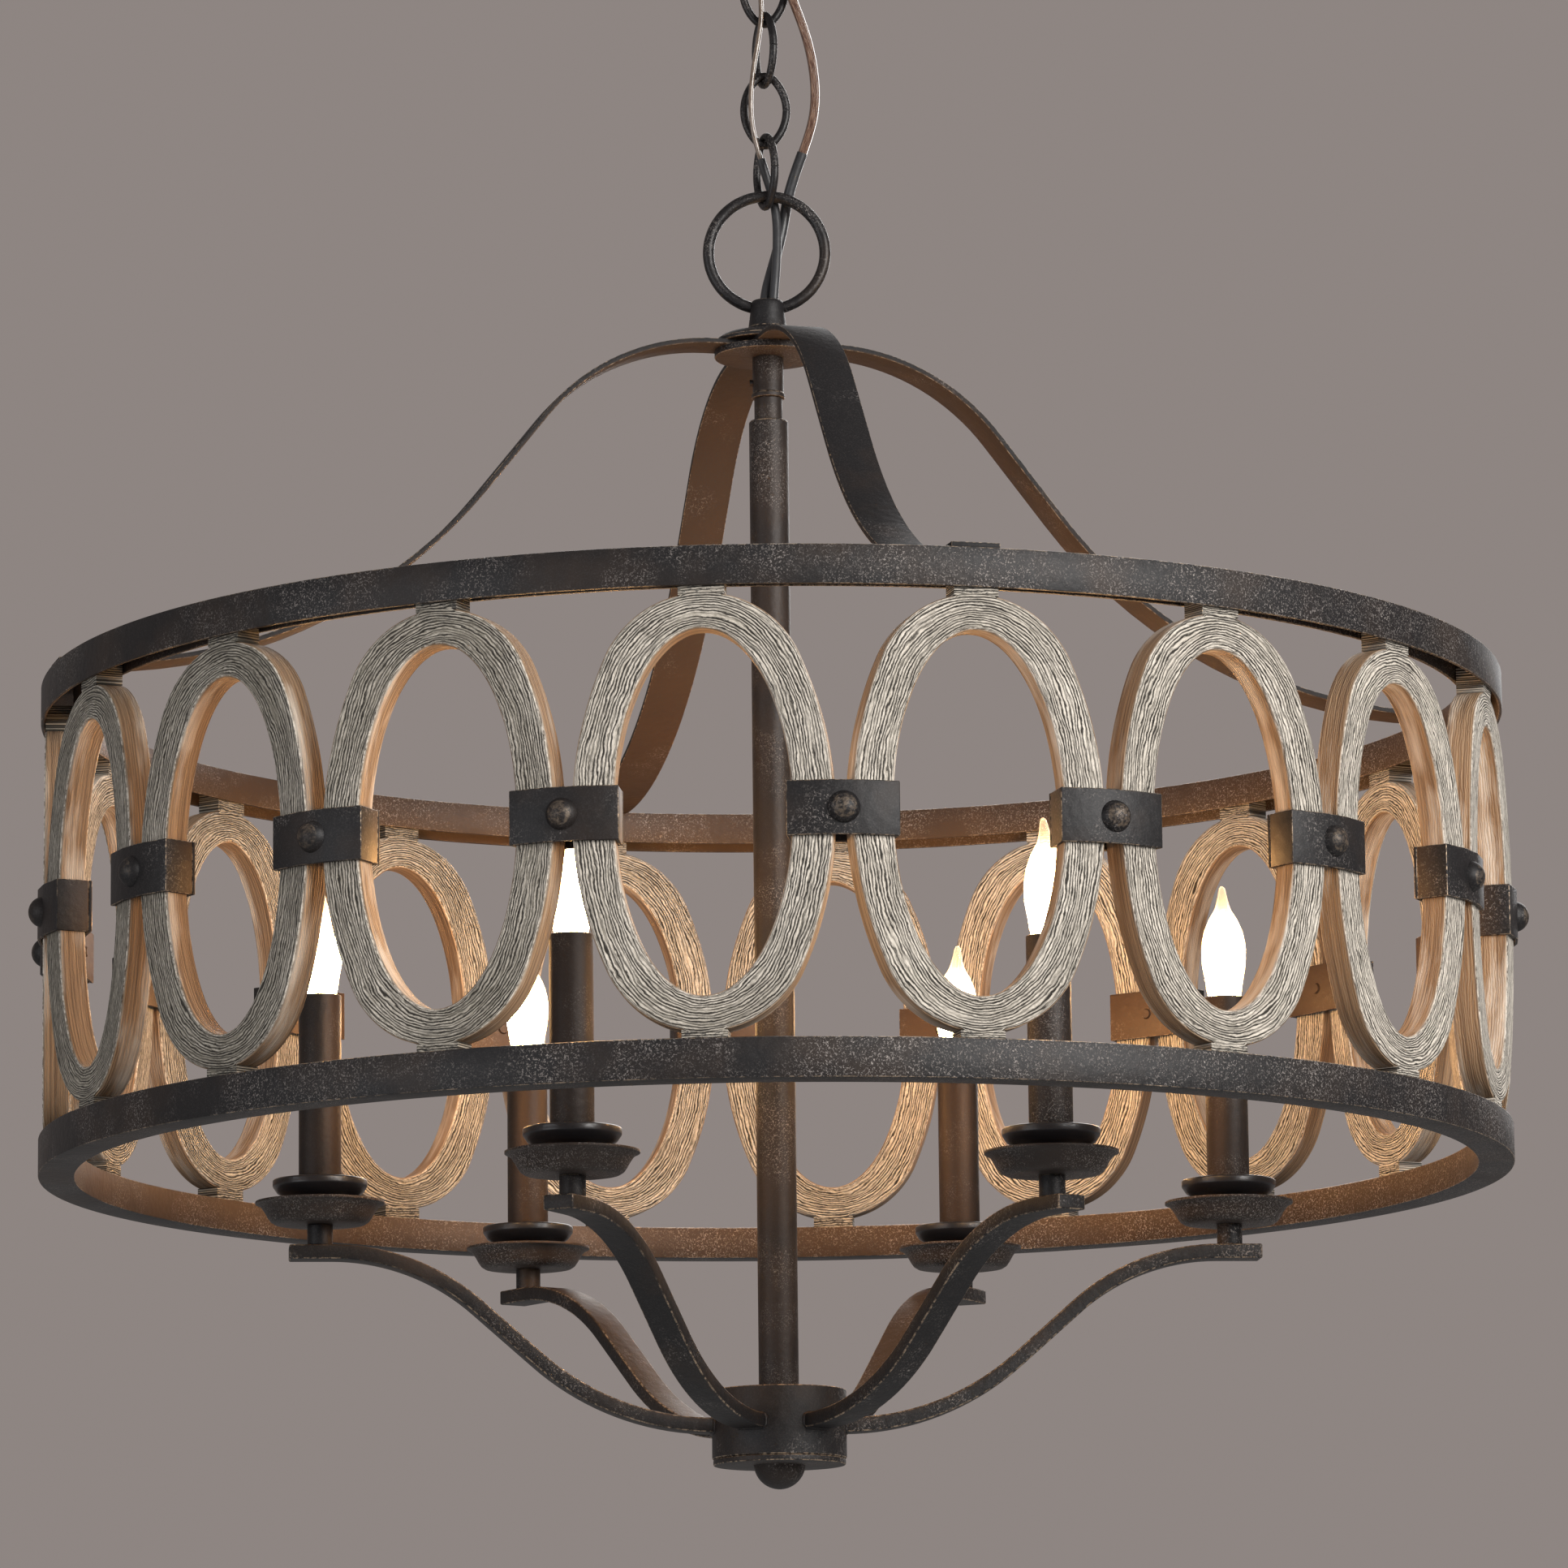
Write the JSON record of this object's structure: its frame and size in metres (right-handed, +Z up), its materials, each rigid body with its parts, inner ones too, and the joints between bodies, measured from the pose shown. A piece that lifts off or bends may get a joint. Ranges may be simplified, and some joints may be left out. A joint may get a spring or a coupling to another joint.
{
  "type": "chandelier",
  "caption": "Round drum chandelier: iron hoops holding a ring of weathered wooden ovals, curved straps and arms, candle lights, hung on a chain.",
  "frame": {"origin": "on the ceiling, in the middle of the crossbar's upper face", "axes": "+Z up, -Y towards the viewer of the picture, the light hangs down along -Z"},
  "size_m": [0.8318, 0.8318, 0.9404],
  "materials": {
    "dark_iron": "hammered dark bronze finish with worn bright edges",
    "zinc_steel": "zinc plated",
    "weathered_wood": "whitewashed weathered wood with dark grain",
    "smooth_black": "smooth black",
    "candle_cover": "dark speckled candle cover",
    "socket_plastic": "moulded lamp holder",
    "bronze": "warm bronze",
    "bulb_glass": "clear flame bulb",
    "clear_cord": "clear insulation over fine wire",
    "copper_cord": "clear twin insulation over copper strands",
    "shrink_sleeve": "dark shrink sleeve"
  },
  "bodies": {
    "ceiling_mount": {"crossbar": "zinc_steel", "crossbar_screws": "zinc_steel", "ceiling_pipe": "zinc_steel", "lock_nut": "zinc_steel", "collar_loop": "dark_iron"},
    "canopy": {"canopy": "dark_iron", "collar_ring": "dark_iron"},
    "link_1": {"chain_link_1": "dark_iron"},
    "link_2": {"chain_link_2": "dark_iron"},
    "link_3": {"chain_link_3": "dark_iron"},
    "link_4": {"chain_link_4": "dark_iron"},
    "fixture": {"hanger_ring": "dark_iron", "top_cap": "dark_iron", "strap_1": "dark_iron", "strap_2": "dark_iron", "strap_3": "dark_iron", "strap_4": "dark_iron", "strap_plate": "dark_iron", "coupling": "bronze", "set_screw": "dark_iron", "neck": "bronze", "stem_tube": "dark_iron", "inner_pipe": "zinc_steel", "hub": "dark_iron", "hub_plate": "dark_iron", "finial": "dark_iron", "arm_1": "dark_iron", "arm_2": "dark_iron", "arm_3": "dark_iron", "arm_4": "dark_iron", "arm_5": "dark_iron", "arm_6": "dark_iron", "top_ring": "dark_iron", "bottom_ring": "dark_iron", "ovals_1": "weathered_wood", "ovals_2": "weathered_wood", "ovals_3": "weathered_wood", "ovals_4": "weathered_wood", "ovals_5": "weathered_wood", "ovals_6": "weathered_wood", "clamp_straps": "dark_iron", "clamp_plates": "dark_iron", "rivets": "dark_iron", "stubs": "dark_iron", "drip_pans": "dark_iron", "cups": "smooth_black", "candles": "candle_cover", "candle_pipes": "zinc_steel", "sockets": "socket_plastic", "left_cord": "clear_cord", "left_cord_sleeve": "shrink_sleeve", "right_cord": "copper_cord", "right_cord_sleeve": "shrink_sleeve"},
    "bulb_1": {"bulb_1": "bulb_glass"},
    "bulb_2": {"bulb_2": "bulb_glass"},
    "bulb_3": {"bulb_3": "bulb_glass"},
    "bulb_4": {"bulb_4": "bulb_glass"},
    "bulb_5": {"bulb_5": "bulb_glass"},
    "bulb_6": {"bulb_6": "bulb_glass"}
  },
  "joints": [
    {"name": "canopy_drop", "type": "slide", "parent": "ceiling_mount", "child": "canopy", "axis": [0, 0, -1], "range_m": [0, 0.028]},
    {"name": "link_1_swing", "type": "hinge", "parent": "ceiling_mount", "child": "link_1", "pos_m": [0, 0, -0.064], "axis": [0, 1, 0], "range_deg": [-15, 15], "deforming": ["left_cord", "left_cord_sleeve", "right_cord", "right_cord_sleeve"]},
    {"name": "link_2_swing", "type": "hinge", "parent": "link_1", "child": "link_2", "pos_m": [0, 0, -0.0993], "axis": [1, 0, 0], "range_deg": [-15, 15], "deforming": ["left_cord", "left_cord_sleeve", "right_cord", "right_cord_sleeve"]},
    {"name": "link_3_swing", "type": "hinge", "parent": "link_2", "child": "link_3", "pos_m": [0, 0, -0.13485], "axis": [0.4226, -0.9063, 0], "range_deg": [-15, 15], "deforming": ["left_cord", "left_cord_sleeve", "right_cord", "right_cord_sleeve"]},
    {"name": "link_4_swing", "type": "hinge", "parent": "link_3", "child": "link_4", "pos_m": [0, 0, -0.1704], "axis": [1, 0, 0], "range_deg": [-15, 15], "deforming": ["left_cord", "left_cord_sleeve", "right_cord", "right_cord_sleeve"]},
    {"name": "fixture_swing", "type": "hinge", "parent": "link_4", "child": "fixture", "pos_m": [0, 0, -0.20595], "axis": [0.4226, -0.9063, 0], "range_deg": [-15, 15], "deforming": ["left_cord", "left_cord_sleeve", "right_cord", "right_cord_sleeve"]},
    {"name": "bulb_1_out", "type": "slide", "parent": "fixture", "child": "bulb_1", "axis": [0, 0, 1], "range_m": [0, 0.03]},
    {"name": "bulb_2_out", "type": "slide", "parent": "fixture", "child": "bulb_2", "axis": [0, 0, 1], "range_m": [0, 0.03]},
    {"name": "bulb_3_out", "type": "slide", "parent": "fixture", "child": "bulb_3", "axis": [0, 0, 1], "range_m": [0, 0.03]},
    {"name": "bulb_4_out", "type": "slide", "parent": "fixture", "child": "bulb_4", "axis": [0, 0, 1], "range_m": [0, 0.03]},
    {"name": "bulb_5_out", "type": "slide", "parent": "fixture", "child": "bulb_5", "axis": [0, 0, 1], "range_m": [0, 0.03]},
    {"name": "bulb_6_out", "type": "slide", "parent": "fixture", "child": "bulb_6", "axis": [0, 0, 1], "range_m": [0, 0.03]}
  ]
}
